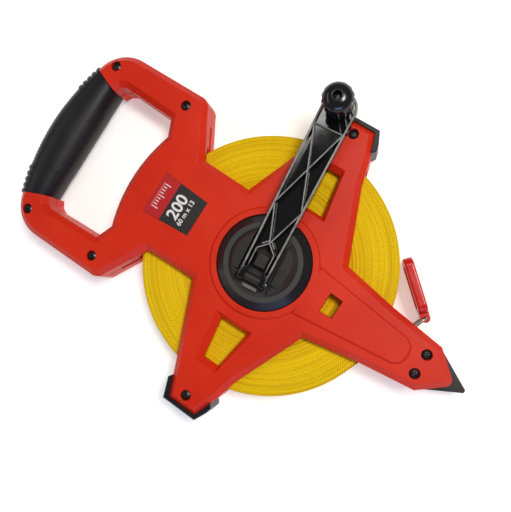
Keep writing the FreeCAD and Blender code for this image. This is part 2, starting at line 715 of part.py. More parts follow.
def knob_washer():
    ring = cylinder(KNOB_BOSS_R, KNOB_BOSS_TOP, KNOB_BOSS_TOP + WASHER)
    return on_knob(ring.cut(cylinder(SHANK_R, KNOB_BOSS_TOP - 1, KNOB_BOSS_TOP + 2)))


def knob_screw():
    """The shoulder screw that the knob turns on."""
    seat = KNOB_SHELF + KNOB_PLAY
    head = crosshead_screw((0, 0), SHANK_R, KNOB_HEAD_R, seat, KNOB_BOSS_TOP, KNOB_HEAD)
    thread = cylinder(SCREW_R, ARM_BOTTOM + THREAD_INSET, KNOB_BOSS_TOP + 1)
    return on_knob(fused([head, thread]))


def knob():
    """A tapered, fluted handle with a domed top."""
    profile = [V(0, 0, KNOB_BASE), V(KNOB_BASE_R - KNOB_EASE, 0, KNOB_BASE),
               V(KNOB_BASE_R, 0, KNOB_BASE + KNOB_EASE), V(KNOB_R, 0, KNOB_SHOULDER)]
    edges = [Part.LineSegment(a, b).toShape() for a, b in zip(profile[:-1], profile[1:])]
    top = V(KNOB_RECESS_R, 0, KNOB_TOP)
    edges.append(Part.Arc(profile[-1], V(KNOB_DOME[0], 0, KNOB_DOME[1]), top).toShape())
    edges.append(Part.LineSegment(top, V(0, 0, KNOB_TOP)).toShape())
    edges.append(Part.LineSegment(V(0, 0, KNOB_TOP), profile[0]).toShape())
    body = Part.Face(Part.Wire(edges)).revolve(V(0, 0, 0), UP, 360)
    lean = (KNOB_R - KNOB_BASE_R - FLUTE_GROWTH) / (KNOB_SHOULDER - KNOB_BASE)
    flutes = []
    for i in range(KNOB_FLUTES):
        out = radial(2 * math.pi * (i + 0.5) / KNOB_FLUTES)
        start = out * (KNOB_BASE_R - FLUTE_DEPTH + FLUTE_R - lean) + V(0, 0, KNOB_BASE - 1)
        flutes.append(Part.makeCylinder(FLUTE_R, KNOB_TOP - KNOB_BASE, start, UP + out * lean))
    bore = cylinder(SHANK_R + SHANK_CLEARANCE, KNOB_BASE - 1, KNOB_TOP)
    recess = cylinder(KNOB_RECESS_R, KNOB_SHELF, KNOB_TOP + 1)
    return on_knob(body.cut(flutes + [bore, recess]))


# The tape's free end


def along_tape(s):
    """A point s millimetres outside the mouth, on the tape's line."""
    return at(MOUTH) + radial(math.radians(TAPE_ANGLE)) * s


def tape_frame(shape):
    shape.rotate(V(0, 0, 0), UP, TAPE_ANGLE)
    shape.translate(at(MOUTH))
    return shape


def tape_lead():
    """The straight run from the roll to the loop round the ring's inner bar."""
    run = math.radians(TAPE_ANGLE)
    tangent = V(math.sin(run), -math.cos(run), 0) * (ROLL_R + TAPE_THICKNESS)
    back = (tangent - at(MOUTH)).dot(radial(run))
    half = TAPE_THICKNESS / 2
    strip = box((back, -half, TAPE_LOW), (RING_INSIDE - LOOP_R, half, TAPE_HIGH))
    eye = cylinder(LOOP_R + TAPE_THICKNESS, TAPE_LOW, TAPE_HIGH, (RING_INSIDE, 0))
    hole = cylinder(LOOP_R, TAPE_LOW, TAPE_HIGH, (RING_INSIDE, 0))
    return tape_frame(strip.fuse(eye).cut(hole).removeSplitter())


def end_ring():
    """A rectangular ring of round wire, upright in the mouth."""
    block = rounded_frame(RING_INSIDE, RING_OUTSIDE, RING_HALF, RING_BEND, 2 * RING_WIRE_R)
    half = block.common(box((RING_INSIDE - 1, 0, 0), (RING_OUTSIDE + 1, RING_WIRE_R, THICKNESS)))
    middle_wires = [wire for side in half.Faces for wire in side.Wires if wire.BoundBox.YMax < OVERLAP]
    rim = min(middle_wires, key=lambda wire: wire.Length)
    path = Part.Wire(Part.__sortEdges__(rim.Edges))
    first = path.OrderedEdges[0]
    start = first.valueAt(first.FirstParameter)
    section = Part.Wire(Part.Circle(start, first.tangentAt(first.FirstParameter), RING_WIRE_R).toShape())
    return tape_frame(Part.Solid(path.makePipeShell([section], True, False)))


def rounded_frame(x0, x1, half, corner, depth):
    """A plate in the XZ plane with rounded corners, centred on the middle plane."""
    block = box((x0, -depth / 2, MIDDLE - half), (x1, depth / 2, MIDDLE + half))
    upright = [e for e in block.Edges if abs(e.Vertexes[0].Y - e.Vertexes[-1].Y) > depth / 2]
    return block.makeFillet(corner, upright)


def end_hook():
    """The finger loop, whose knuckle turns on the ring's outer bar."""
    loop = rounded_frame(HOOK_BAR[0], HOOK_LENGTH, HOOK_HALF, HOOK_CORNER, HOOK_THICKNESS)
    rims = [e for e in loop.Edges if abs(e.Vertexes[0].Y - e.Vertexes[-1].Y) < OVERLAP]
    loop = loop.makeFillet(HOOK_ROUNDING, rims)
    inner_half = HOOK_HALF - HOOK_BAND
    hole = rounded_frame(HOOK_BAR[1], HOOK_LENGTH - HOOK_BAND, inner_half, HOOK_HOLE_CORNER, HOOK_LENGTH)
    low, high = MIDDLE - HOOK_KNUCKLE_HALF, MIDDLE + HOOK_KNUCKLE_HALF
    knuckle = cylinder(HOOK_KNUCKLE_R, low, high)
    neck = box((0, -HOOK_KNUCKLE_R, low), (HOOK_BAR[0] + 1, HOOK_KNUCKLE_R, high))
    bore = cylinder(LOOP_R, low - 1, high + 1)
    hook = fused([loop.cut(hole), knuckle, neck]).cut(bore)
    hook.rotate(V(0, 0, 0), UP, HOOK_ANGLE)
    hook.translate(along_tape(RING_OUTSIDE))
    return hook


NODES = {
    "front_frame": front_frame,
    "rear_frame": rear_frame,
    "frame_screws": frame_screws,
    "hand_grip": hand_grip,
    "corner_foot_left": lambda: corner_foot(1),
    "corner_foot_right": lambda: corner_foot(-1),
    "ground_spike": ground_spike,
    "label": label,
    "tape_lead": tape_lead,
    "drum_front": drum_front,
    "drum_rear": drum_rear,
    "drum_screws": drum_screws,
    "tape_roll": tape_roll,
    "tape_anchor": tape_anchor,
    "crank_seat": crank_seat,
    "detent_spring": detent_spring,
    "hinge_pin": hinge_pin,
    "crank_arm": crank_arm,
    "knob_washer": knob_washer,
    "knob_screw": knob_screw,
    "knob": knob,
    "end_ring": end_ring,
    "end_hook": end_hook,
}


def main():
    os.makedirs("parts", exist_ok=True)
    for name, build in NODES.items():
        shape = build()
        shape.exportStep(os.path.join("parts", name + ".step"))
        print(name, "solids", len(shape.Solids), "valid", shape.isValid(), "volume", round(shape.Volume),
              "z", round(shape.BoundBox.ZMin, 2), round(shape.BoundBox.ZMax, 2))


main()
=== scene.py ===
import json
import math
import random

import bmesh
import bpy
from mathutils import Matrix, Vector


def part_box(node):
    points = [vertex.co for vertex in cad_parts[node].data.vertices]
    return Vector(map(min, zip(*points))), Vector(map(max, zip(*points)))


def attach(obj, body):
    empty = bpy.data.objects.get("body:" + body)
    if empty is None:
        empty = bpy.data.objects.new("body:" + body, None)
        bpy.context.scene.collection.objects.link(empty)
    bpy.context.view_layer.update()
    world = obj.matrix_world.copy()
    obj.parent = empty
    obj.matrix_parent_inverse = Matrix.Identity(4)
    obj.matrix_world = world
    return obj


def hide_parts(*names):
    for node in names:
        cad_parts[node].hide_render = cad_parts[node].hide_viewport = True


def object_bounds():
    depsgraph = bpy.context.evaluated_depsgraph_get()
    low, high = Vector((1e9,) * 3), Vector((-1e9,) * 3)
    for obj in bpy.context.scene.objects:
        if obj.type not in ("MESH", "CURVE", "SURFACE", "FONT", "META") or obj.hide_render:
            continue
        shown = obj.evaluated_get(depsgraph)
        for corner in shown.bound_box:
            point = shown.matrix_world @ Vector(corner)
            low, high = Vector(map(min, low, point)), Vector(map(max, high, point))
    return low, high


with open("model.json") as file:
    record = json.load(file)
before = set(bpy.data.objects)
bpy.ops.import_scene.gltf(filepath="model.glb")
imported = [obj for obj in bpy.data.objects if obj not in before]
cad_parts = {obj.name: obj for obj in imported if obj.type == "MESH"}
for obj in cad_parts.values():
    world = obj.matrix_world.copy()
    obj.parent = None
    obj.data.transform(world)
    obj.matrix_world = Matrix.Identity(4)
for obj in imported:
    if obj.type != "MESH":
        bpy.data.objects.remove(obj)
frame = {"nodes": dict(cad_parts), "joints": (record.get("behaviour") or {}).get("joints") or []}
CAD_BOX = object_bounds()
NODES = frame["nodes"]
JOINTS = {joint["name"]: joint for joint in frame["joints"]}

# Camera: a near view from above the reel, a little towards the spike.
CAMERA_PLACE = Vector((0.0764, 0.0155, 0.4771))
CAMERA_AIM = Vector((-0.0082, 0.0007, 0.0340))
CAMERA_UP = Vector((-0.5348, 0.8417, 0.0739))
CAMERA_LENS = 43.0
WHITE = (1.0, 1.0, 1.0, 1.0)

# Height of the frame's middle plane, where the two halves meet.
MIDDLE_Z = 0.017

# Crank: the height of its rims, how far down their tops carry a painted highlight, and how far from the hinge
# that painted highlight starts.
RIM_Z = 0.051
PAINTED_HIGHLIGHT_DEPTH = 0.0006
PAINTED_HIGHLIGHT_START = 0.0105

# Drum: the heights between which its wall turns into its matte top ring.
DRUM_WALL_Z = 0.04030
DRUM_RING_Z = 0.04038

# Radii that the edges of each material look rounded to.
MOULDED_EDGE = 0.0005
RUBBER_EDGE = 0.0004
METAL_EDGE = 0.0002
PAINTED_EDGE = 0.0003
CRANK_EDGE = 0.0006
DRUM_EDGE = 0.0003

# Hand grip, bowed outwards, whose ends lean with the frame's brackets.
GRIP_HALF_LENGTH = 0.0546
GRIP_LEAN = 0.407
GRIP_OUTER_X = -0.2128
GRIP_END_OUTER_X = -0.2024
GRIP_INNER_X = -0.1764
GRIP_BOW = 1.9
GRIP_SQUARENESS = 0.9
GRIP_HALF_Z = 0.0163
GRIP_END_HALF_Z = 0.0152
GRIP_RIB_PITCH = 0.0046
GRIP_RIB_HEIGHT = 0.0019
GRIP_RIB_START = 0.56
GRIP_RIB_FADE = 0.05
GRIP_SERRATION_PITCH = 0.0026
GRIP_SERRATION = 0.0005
GRIP_CREST_POWER = 0.7
GRIP_RINGS = 240
GRIP_SIDES = 96

# Wound tape: each band of turns is flat between two shares of its width.
LAYER_PITCH = 0.00125
CROWN_START = 0.22
CROWN_END = 0.80
ROLL_STEPS = 288
LAYER_DROP = 0.00055
GROOVE_DEPTH = 0.0006
WOBBLE = 0.00012
CORE_R = 0.038
ROLL_R = 0.098
TAPE_HALF_WIDTH = 0.0065
STITCHES = 290
STITCH_SHIFT = 0.5
TAPE_YELLOWS = (0.80, 0.51, 0.001), (0.92, 0.67, 0.002)
STITCH_BROWN = (0.42, 0.23, 0.001)
# Painted shade: the brown that the tape's edge turns to down between the turns.
PAINTED_GROOVE_SHADE = (0.26, 0.14, 0.001)

# Graduations across the tape: half their spacing, half their width, and where they start across it.
LONG_TICK = 0.005, 0.00022, -0.001
SHORT_TICK = 0.001, 0.00018, 0.0035

# The tape's outer end, and the loop that it makes round the ring's bar.
TAPE_THICKNESS = 0.00045
EYE_R = 0.0017
WRAP_ANGLE = math.radians(60.0)
WRAP_STEPS = 60
EYE_STEPS = 24

# Label: a red strip that carries a ruler, and numbers on the black part.
PRINT_THICKNESS = 0.00008
LETTER_THICKNESS = 0.00004
LETTER_LIFT = 0.00006
LETTER_WEIGHT = 0.022
STRIP_SHARE = 0.36
STRIP_MARGIN = 0.0003
LABEL_TAPER = 0.0026
RULE_LEFT = 0.0117
RULE_RIGHT = 0.0109
RULE_HALF_LENGTH = 0.0105
RULE_TICKS = 9
RULE_TICK_PITCH = 0.0024
RULE_TICK_START = 0.0105
RULE_TICK_HALF_WIDTH = 0.00035
RULE_LONG_TICK = 0.0052
RULE_SHORT_TICK = 0.0030

# Stage.
FLOOR_REACH = 3.0
FLOOR_GAP = 0.0002
WARM = (1.0, 0.95, 0.87)
WARM_FILL = (1.0, 0.95, 0.88)
PALE_WARM = (1.0, 0.96, 0.93)
COOL = (0.42, 0.60, 1.0)


class Look:
    """A procedural material: nodes are added by name, and values are numbers or other nodes' outputs."""

    def __init__(self, name, color=None, **uniform):
        self.material = bpy.data.materials.new(name)
        self.material.use_nodes = True
        self.tree = self.material.node_tree
        self.shader = self.tree.nodes["Principled BSDF"]
        self.place = self.add("ShaderNodeTexCoord").outputs["Object"]
        if color is not None:
            self.shader.inputs["Base Color"].default_value = (*color, 1.0)
        for socket, value in uniform.items():
            self.shader.inputs[socket.replace("_", " ")].default_value = value

    def add(self, kind, inputs=(), **settings):
        node = self.tree.nodes.new(kind)
        for name, value in settings.items():
            setattr(node, name, value)
        for socket, value in dict(inputs).items():
            self.join(value, node.inputs[socket])
        return node

    def join(self, value, socket):
        if isinstance(value, bpy.types.NodeSocket):
            self.tree.links.new(value, socket)
        else:
            socket.default_value = value

    def sets(self, socket, value):
        self.join(value, self.shader.inputs[socket])

    def calc(self, operation, first, second=0.0):
        return self.add("ShaderNodeMath", {0: first, 1: second}, operation=operation).outputs[0]

    def split(self, vector):
        return self.add("ShaderNodeSeparateXYZ", {0: vector}).outputs

    def combine(self, x, y, z):
        return self.add("ShaderNodeCombineXYZ", {0: x, 1: y, 2: z}).outputs[0]

    def stretched(self, scale):
        """The place in the piece's own axes, stretched by a factor for each axis."""
        return self.add("ShaderNodeVectorMath", {0: self.place, 1: scale}, operation="MULTIPLY").outputs[0]

    def noise(self, scale, detail=2.0, place=None):
        inputs = {"Vector": self.place if place is None else place, "Scale": scale, "Detail": detail}
        return self.add("ShaderNodeTexNoise", inputs).outputs["Fac"]

    def spread(self, value, low, high, to_low=0.0, to_high=1.0):
        """Maps low..high on to to_low..to_high, and holds it at the ends."""
        inputs = {"Value": value, "From Min": low, "From Max": high, "To Min": to_low, "To Max": to_high}
        return self.add("ShaderNodeMapRange", inputs).outputs["Result"]

    def mix(self, share, first, second):
        node = self.add("ShaderNodeMix", data_type="RGBA")
        sockets = {s.identifier: s for s in node.inputs}
        self.join(share, sockets["Factor_Float"])
        for value, socket in ((first, "A_Color"), (second, "B_Color")):
            self.join((*value, 1.0) if isinstance(value, tuple) else value, sockets[socket])
        return next(s for s in node.outputs if s.identifier == "Result_Color")

    def bump(self, height, depth, normal=None):
        inputs = {"Height": height, "Distance": depth, "Strength": 1.0}
        if normal is not None:
            inputs["Normal"] = normal
        return self.add("ShaderNodeBump", inputs).outputs["Normal"]

    def soft_edges(self, radius):
        return self.add("ShaderNodeBevel", {"Radius": radius}, samples=6).outputs["Normal"]


# Materials


def moulded_plastic(name, color, deep, grain, roughness, gloss=0.5):
    """Injection-moulded plastic: a fine sparked grain, faint clouding and handling marks."""
    look = Look(name, Specular_IOR_Level=gloss)
    cloud = look.noise(22.0, 3.0)
    look.sets("Base Color", look.mix(look.spread(cloud, 0.35, 0.7), color, deep))
    rub = look.noise(1.0, 4.0, look.stretched((60.0, 240.0, 60.0)))
    low, high = roughness
    look.sets("Roughness", look.spread(look.calc("ADD", cloud, rub), 0.75, 1.25, high, low))
    fine = look.noise(2600.0, 1.0)
    look.sets("Normal", look.bump(fine, grain, look.soft_edges(MOULDED_EDGE)))
    return look.material


def rubber(name):
    """Matte rubber with a fine pebbled grain."""
    look = Look(name, Specular_IOR_Level=0.35)
    cloud = look.noise(40.0, 3.0)
    cloudy = look.spread(cloud, 0.35, 0.7)
    look.sets("Base Color", look.mix(cloudy, (0.006, 0.007, 0.010), (0.010, 0.010, 0.012)))
    look.sets("Roughness", look.spread(cloud, 0.3, 0.7, 0.36, 0.46))
    cells = look.add("ShaderNodeTexVoronoi", {"Vector": look.place, "Scale": 1100.0}).outputs["Distance"]
    look.sets("Normal", look.bump(cells, 0.00003, look.soft_edges(RUBBER_EDGE)))
    return look.material


def brushed_metal(name, color, across):
    """Bare metal with streaks, drawn out along the axis that across stretches least."""
    look = Look(name, Metallic=1.0)
    streak = look.noise(1.0, 4.0, look.stretched(across))
    look.sets("Base Color", look.mix(streak, color, tuple(0.6 * c for c in color)))
    look.sets("Roughness", look.spread(streak, 0.3, 0.7, 0.22, 0.42))
    look.sets("Normal", look.bump(streak, 0.00002, look.soft_edges(METAL_EDGE)))
    return look.material


def black_paint(name):
    """Blackened steel, worn to bare metal in a few spots."""
    look = Look(name, Specular_IOR_Level=0.5)
    chips = look.spread(look.noise(420.0, 4.0), 0.70, 0.74)
    look.sets("Base Color", look.mix(chips, (0.005, 0.005, 0.007), (0.05, 0.045, 0.04)))
    look.sets("Roughness", look.spread(look.noise(90.0, 3.0), 0.3, 0.7, 0.24, 0.4))
    look.sets("Normal", look.bump(look.noise(900.0, 2.0), 0.000008, look.soft_edges(PAINTED_EDGE)))
    return look.material


def crank_plastic(name):
    """Very glossy black, with a painted highlight in pale grey along the tops of the rims and ribs."""
    look = Look(name, Specular_IOR_Level=0.5)
    height = look.split(look.place)[2]
    rounded = look.soft_edges(CRANK_EDGE)
    flat = look.spread(look.split(rounded)[2], 0.90, 0.985)
    hinge = tuple(JOINTS["crank_fold"]["pos_m"])
    reach = look.add("ShaderNodeVectorMath", {0: look.place, 1: hinge}, operation="DISTANCE").outputs["Value"]
    far = look.spread(reach, PAINTED_HIGHLIGHT_START, 1.4 * PAINTED_HIGHLIGHT_START)
    high = look.calc("GREATER_THAN", height, RIM_Z - PAINTED_HIGHLIGHT_DEPTH)
    top = look.calc("MULTIPLY", high, look.calc("MULTIPLY", flat, far))
    # Painted highlight: pale grey on the flat tops of the rims and ribs, away from the hinge, broken up by
    # noise.
    wear_and_highlight_noise = look.noise(160.0, 4.0)
    painted_highlight = look.calc("MULTIPLY", top, look.spread(wear_and_highlight_noise, 0.30, 0.55, 0.45, 1.0))
    look.sets("Base Color", look.mix(painted_highlight, (0.004, 0.004, 0.005), (0.27, 0.27, 0.26)))
    smear = look.noise(1.0, 3.0, look.stretched((90.0, 90.0, 20.0)))
    polish = look.spread(smear, 0.3, 0.7, 0.05, 0.11)
    look.sets("Roughness", look.calc("ADD", polish, look.calc("MULTIPLY", top, 0.3)))
    look.sets("Normal", look.bump(look.noise(1500.0, 1.0), 0.000002, rounded))
    return look.material


def drum_black(name):
    """The drum turret: a glossy wall and a matte top ring."""
    look = Look(name, Specular_IOR_Level=0.5)
    height = look.split(look.place)[2]
    top = look.spread(height, DRUM_WALL_Z, DRUM_RING_Z)
    wear_and_highlight_noise = look.noise(70.0, 4.0)
    ring = look.mix(wear_and_highlight_noise, (0.026, 0.026, 0.022), (0.040, 0.038, 0.033))
    look.sets("Base Color", look.mix(top, (0.008, 0.008, 0.010), ring))
    polish = look.spread(top, 0.0, 1.0, 0.2, 0.48)
    look.sets("Roughness", look.calc("ADD", polish, look.calc("MULTIPLY", wear_and_highlight_noise, 0.12)))
    look.sets("Normal", look.bump(look.noise(1800.0, 1.0), 0.000006, look.soft_edges(DRUM_EDGE)))
    return look.material


def tape_edge(name):
    """The wound tape seen edge on: coated glass fibre, with painted shade darkening it down between the
    turns.
    """
    look = Look(name, Specular_IOR_Level=0.12)
    x, y, z = look.split(look.place)
    radius = look.calc("SQRT", look.calc("ADD", look.calc("MULTIPLY", x, x), look.calc("MULTIPLY", y, y)))
    around = look.calc("ARCTAN2", y, x)
    turn = look.calc("MULTIPLY", radius, 1.0 / LAYER_PITCH)
    tone = look.noise(1.0, 2.0, look.combine(look.calc("MULTIPLY", radius, 700.0), around, 0.0))
    threads = look.calc("MULTIPLY", around, STITCHES / (2 * math.pi))
    shift = look.calc("MULTIPLY", look.calc("FLOOR", turn), STITCH_SHIFT)
    dot = look.calc("PINGPONG", look.calc("ADD", threads, shift), 0.5)
    stitch = look.calc("ADD", dot, look.calc("MULTIPLY", look.noise(900.0, 1.0), 0.25))
    from_middle = look.calc("ABSOLUTE", look.calc("SUBTRACT", z, MIDDLE_Z))
    # Painted shade: the deeper a face lies between the turns, the nearer its colour is to brown.
    groove_floor = TAPE_HALF_WIDTH - LAYER_DROP - GROOVE_DEPTH
    height = look.spread(from_middle, groove_floor, TAPE_HALF_WIDTH - 0.5 * LAYER_DROP)
    face = look.mix(look.spread(tone, 0.3, 0.7), *TAPE_YELLOWS)
    shade = look.mix(look.spread(stitch, 0.12, 0.30), STITCH_BROWN, face)
    look.sets("Base Color", look.mix(height, PAINTED_GROOVE_SHADE, shade))
    look.sets("Roughness", look.spread(stitch, 0.2, 0.8, 0.5, 0.65))
    look.sets("Normal", look.bump(stitch, 0.00012))
    return look.material


def graduations(look, along, side, half_spacing, half_width, start):
    """Ticks along the tape that run across it from start to its front edge."""
    near = look.calc("LESS_THAN", look.calc("PINGPONG", along, half_spacing), half_width)
    return look.calc("MULTIPLY", near, look.calc("GREATER_THAN", side, start))


def tape_face(name):
    """The flat of the tape: a glossy coating over a plain weave, with dark graduations across it."""
    look = Look(name, Specular_IOR_Level=0.45)
    x, y, z = look.split(look.place)
    along = look.calc("MULTIPLY", look.calc("ARCTAN2", y, x), ROLL_R)
    side = look.calc("SUBTRACT", z, MIDDLE_Z)
    ticks = [graduations(look, along, side, *tick) for tick in (LONG_TICK, SHORT_TICK)]
    tone = look.mix(look.noise(120.0, 2.0), (0.80, 0.50, 0.001), (0.92, 0.64, 0.002))
    look.sets("Base Color", look.mix(look.calc("MAXIMUM", *ticks), tone, (0.015, 0.015, 0.015)))
    threads = look.add("ShaderNodeTexVoronoi", {"Vector": look.place, "Scale": 1300.0}).outputs["Distance"]
    look.sets("Roughness", look.spread(threads, 0.1, 0.7, 0.30, 0.5))
    look.sets("Normal", look.bump(threads, 0.00008))
    return look.material


def ink(name, color):
    """Printed film: a faint gloss with fine dust in it."""
    look = Look(name, Specular_IOR_Level=0.5, Coat_Weight=0.3, Coat_Roughness=0.2)
    dust = look.noise(700.0, 3.0)
    dusty = tuple(0.8 * c + 0.04 for c in color)
    look.sets("Base Color", look.mix(look.spread(dust, 0.62, 0.75), color, dusty))
    look.sets("Roughness", look.spread(dust, 0.3, 0.7, 0.32, 0.45))
    look.sets("Normal", look.bump(dust, 0.00001))
    return look.material


def pale_floor(name):
    """A matte white sheet that glows a little, so that it stays white where it is in shade."""
    look = Look(name, color=(0.93, 0.93, 0.93), Roughness=0.7, Specular_IOR_Level=0.2)
    look.shader.inputs["Emission Color"].default_value = WHITE
    look.shader.inputs["Emission Strength"].default_value = 0.35
    return look.material


RED = moulded_plastic("red_shell_plastic", color=(0.69, 0.024, 0.003), deep=(0.62, 0.017, 0.002),
                      grain=0.000008, roughness=(0.38, 0.48), gloss=0.28)
HOOK_RED = moulded_plastic("red_hook_plastic", color=(0.62, 0.010, 0.005), deep=(0.54, 0.008, 0.004),
                           grain=0.000006, roughness=(0.16, 0.26))
BLACK = crank_plastic("black_crank_plastic")
KNOB_BLACK = moulded_plastic("black_knob_plastic", color=(0.005, 0.005, 0.006), deep=(0.008, 0.008, 0.009),
                             grain=0.000004, roughness=(0.14, 0.22))
GREY = moulded_plastic("grey_seat_plastic", color=(0.026, 0.026, 0.023), deep=(0.018, 0.018, 0.016),
                       grain=0.00001, roughness=(0.34, 0.46), gloss=0.35)
RUBBER = rubber("black_rubber")
STEEL = brushed_metal("bright_steel", (0.42, 0.39, 0.36), (900.0, 60.0, 900.0))
SCREW = black_paint("blackened_steel")
DRUM = drum_black("black_drum_plastic")
TAPE_EDGE = tape_edge("tape_edge")
TAPE_FACE = tape_face("tape_face")
INK_BLACK = ink("label_black", (0.016, 0.016, 0.016))
INK_RED = ink("label_red", (0.50, 0.006, 0.010))
INK_WHITE = ink("label_white", (0.80, 0.78, 0.78))
INK_PINK = ink("label_pink", (0.72, 0.16, 0.16))

CAD_LOOKS = {
    "front_frame": RED, "rear_frame": RED, "frame_screws": SCREW, "corner_foot_left": RUBBER,
    "corner_foot_right": RUBBER, "ground_spike": SCREW, "label": INK_BLACK, "tape_lead": TAPE_FACE,
    "drum_front": DRUM, "drum_rear": DRUM, "drum_screws": STEEL, "tape_anchor": STEEL, "crank_seat": GREY,
    "detent_spring": STEEL, "hinge_pin": STEEL, "crank_arm": BLACK, "knob_washer": STEEL, "knob_screw": SCREW,
    "knob": KNOB_BLACK, "end_ring": STEEL, "end_hook": HOOK_RED,
}


def dress(node, material):
    mesh = NODES[node].data
    mesh.materials.clear()
    mesh.materials.append(material)


# Pieces


def new_piece(name, mesh_data, materials, body, replaced=()):
    """Adds a mesh that rides on a body, with its materials and the nodes that it stands for."""
    piece = bpy.data.objects.new(name, mesh_data)
    bpy.context.scene.collection.objects.link(piece)
    for material in materials:
        mesh_data.materials.append(material)
    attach(piece, body)
    if replaced:
        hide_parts(*replaced)


def finished(mesh, name):
    """Mesh data from a bmesh, which is freed."""
    data = bpy.data.meshes.new(name)
    mesh.to_mesh(data)
    mesh.free()
    return data


def tube_mesh(name, rings, smooth=True):
    """A closed mesh through rings of points, each ring closed and both ends capped."""
    mesh = bmesh.new()
    made = [[mesh.verts.new(p) for p in ring] for ring in rings]
    sides = len(rings[0])
    for low, high in zip(made[:-1], made[1:]):
        for i in range(sides):
            j = (i + 1) % sides
            mesh.faces.new((low[i], low[j], high[j], high[i]))
    mesh.faces.new(reversed(made[0]))
    mesh.faces.new(made[-1])
    bmesh.ops.recalc_face_normals(mesh, faces=mesh.faces)
    data = finished(mesh, name)
    for face in data.polygons:
        face.use_smooth = smooth and len(face.vertices) == 4
    return data


def bump_wave(distance, pitch):
    """Round bumps with narrow valleys, 0 in a valley and 1 on a crest."""
    return abs(math.sin(math.pi * distance / pitch)) ** GRIP_CREST_POWER


def grip_ring(t):
    """One section of the grip, from -1 at one end to 1 at the other."""
    bow = 1.0 - abs(t) ** GRIP_BOW
    outer = GRIP_END_OUTER_X + (GRIP_OUTER_X - GRIP_END_OUTER_X) * bow
    half_x = (GRIP_INNER_X - outer) / 2
    half_z = GRIP_END_HALF_Z + (GRIP_HALF_Z - GRIP_END_HALF_Z) * bow
    centre = outer + half_x
    along = t * GRIP_HALF_LENGTH
    end_zone = min(1.0, max(0.0, (abs(t) - GRIP_RIB_START) / GRIP_RIB_FADE))
    ring = []
    for i in range(GRIP_SIDES):
        angle = 2 * math.pi * i / GRIP_SIDES
        c, s = math.cos(angle), math.sin(angle)
        outward = max(0.0, -c) ** 0.5
        ribs = GRIP_RIB_HEIGHT * end_zone * outward * bump_wave(along, GRIP_RIB_PITCH)
        fine = GRIP_SERRATION * (1 - end_zone) * abs(c) * bump_wave(along, GRIP_SERRATION_PITCH)
        proud = ribs + fine
        x = centre + (half_x + proud) * math.copysign(abs(c) ** GRIP_SQUARENESS, c)
        z = MIDDLE_Z + half_z * math.copysign(abs(s) ** GRIP_SQUARENESS, s)
        lean = -t * GRIP_LEAN * (x - centre)
        ring.append(Vector((x, along + lean, z)))
    return ring


def grip_sleeve():
    """The rubber sleeve, ribbed at its ends and finely serrated between them."""
    steps = [2.0 * i / GRIP_RINGS - 1.0 for i in range(GRIP_RINGS + 1)]
    data = tube_mesh("grip_sleeve", [grip_ring(t) for t in steps])
    new_piece("grip_sleeve", data, [RUBBER], "frame", ["hand_grip"])


def roll_faces(low, high):
    """Points (radius, band, height) from the core outwards on the roll's front face, then on its rear.

    Each band of turns stands a little higher or lower than the next, with a groove before it.
    """
    rng = random.Random(7)
    bands = round((high.x - CORE_R) / LAYER_PITCH)
    pitch = (high.x - CORE_R) / bands
    drops = [rng.random() ** 2 * LAYER_DROP for _ in range(bands)]
    gaps = [GROOVE_DEPTH * (0.25 + rng.random() ** 3) for _ in range(bands)]

    def face_line(tops):
        line = []
        for k, (top, gap) in enumerate(zip(tops, gaps)):
            start = CORE_R + k * pitch
            line.append((start, k, top + gap))
            line.append((start + CROWN_START * pitch, k, top))
            line.append((start + CROWN_END * pitch, k, top))
        return line + [(high.x, bands, LAYER_DROP)]

    front = [(r, k, high.z - depth) for r, k, depth in face_line(drops)]
    rear = [(r, k, low.z + depth) for r, k, depth in face_line(drops[::-1])]
    return front, rear


def wander(angle, band):
    """How far the edge of a band strays outwards at an angle round the roll."""
    phase = 0.9 * math.sin(0.31 * band) + 0.5 * math.sin(0.083 * band)
    return WOBBLE * math.sin(angle + phase) + 0.4 * WOBBLE * math.sin(3 * angle + band)


def wound_tape():
    """The roll, turn on turn, with the tape's flat showing round its rim."""
    front, rear = roll_faces(*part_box("tape_roll"))
    bands = front[-1][1]
    loop = front + rear[::-1]
    mesh = bmesh.new()
    rows = []
    for i in range(ROLL_STEPS):
        a = 2 * math.pi * i / ROLL_STEPS
        row = []
        for r, k, z in loop:
            inset = 0.0 if k in (0, bands) else wander(a, k)
            row.append(mesh.verts.new(((r + inset) * math.cos(a), (r + inset) * math.sin(a), z)))
        rows.append(row)
    for i, row in enumerate(rows):
        ahead = rows[(i + 1) % ROLL_STEPS]
        for j in range(len(loop)):
            after = (j + 1) % len(loop)
            face = mesh.faces.new((row[j], ahead[j], ahead[after], row[after]))
            face.smooth = True
            face.material_index = 1 if j == len(front) - 1 else 0
    bmesh.ops.recalc_face_normals(mesh, faces=mesh.faces)
    data = finished(mesh, "wound_tape")
    new_piece("wound_tape", data, [TAPE_EDGE, TAPE_FACE], "reel", ["tape_roll"])


def run_line():
    """The tape's middle line: round the roll, straight to the ring's bar, and once round the bar."""
    bar = Vector(JOINTS["ring_swing"]["pos_m"]).xy
    roll_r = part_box("tape_roll")[1].x
    reach = roll_r + 0.5 * TAPE_THICKNESS + EYE_R
    leave = math.atan2(bar.y, bar.x) - math.acos(reach / bar.length)
    line = []
    for i in range(WRAP_STEPS + 1):
        share = i / WRAP_STEPS
        angle = leave - WRAP_ANGLE * (1 - share)
        line.append((roll_r + 0.5 * TAPE_THICKNESS * share) * Vector((math.cos(angle), math.sin(angle))))
    outward = Vector((math.cos(leave), math.sin(leave)))
    ahead = Vector((-outward.y, outward.x))
    for i in range(EYE_STEPS):
        angle = 2 * math.pi * i / EYE_STEPS
        line.append(bar + EYE_R * (math.sin(angle) * ahead - math.cos(angle) * outward))
    return line


